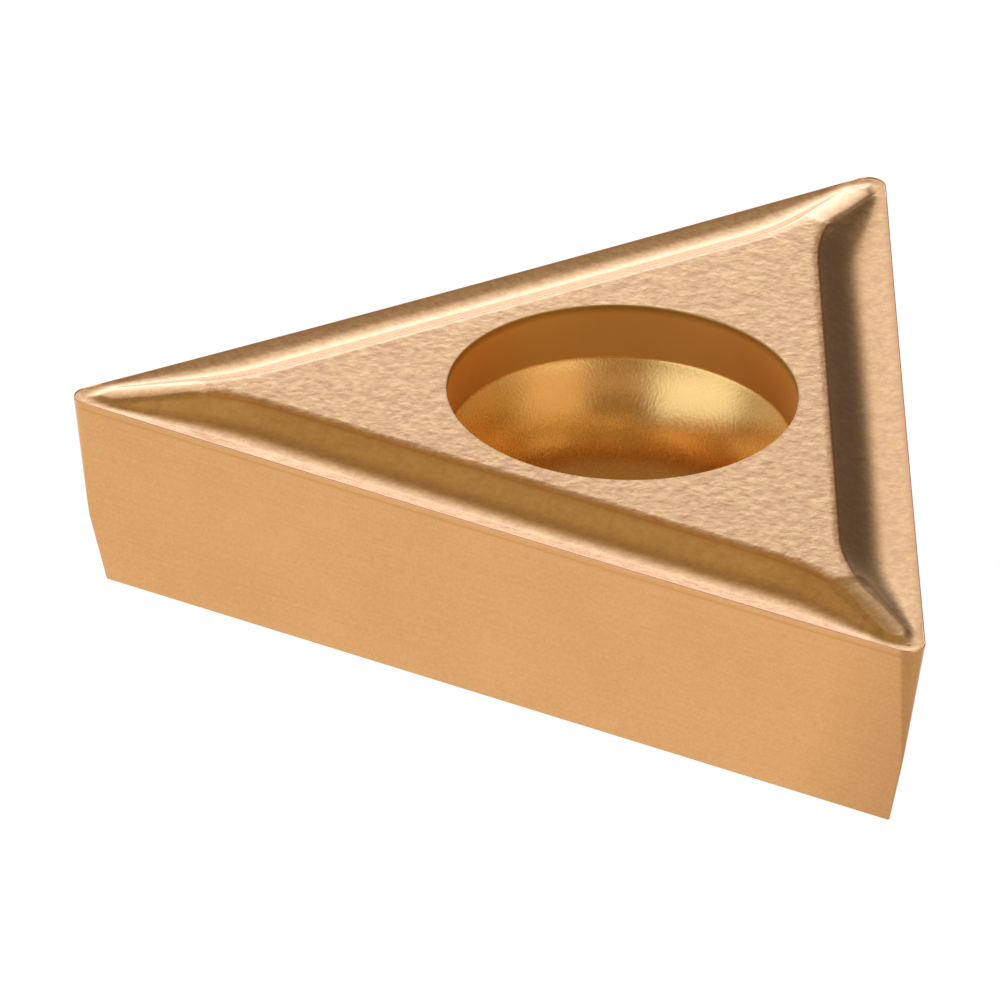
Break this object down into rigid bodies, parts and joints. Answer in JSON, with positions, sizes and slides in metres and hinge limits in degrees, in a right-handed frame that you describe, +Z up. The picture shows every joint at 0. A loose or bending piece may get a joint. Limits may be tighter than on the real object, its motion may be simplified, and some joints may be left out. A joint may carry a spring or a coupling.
{
  "type": "triangular carbide turning insert",
  "caption": "Triangular positive turning insert with ground flanks, moulded chip grooves and a countersunk screw hole; it cuts metal when screwed into a tool holder's pocket.",
  "frame": {"origin": "axis of the screw hole, at the flat seat face", "axes": "+Z up along the screw hole, from the seat face to the plateau; one cutting edge runs along X at -Y; the opposite nose points along +Y"},
  "size_m": [0.0108, 0.0093, 0.0025],
  "materials": {
    "coated_carbide": "satin gold-bronze coating on sintered and ground carbide"
  },
  "bodies": {
    "root": {"insert": "coated_carbide"}
  },
  "joints": []
}
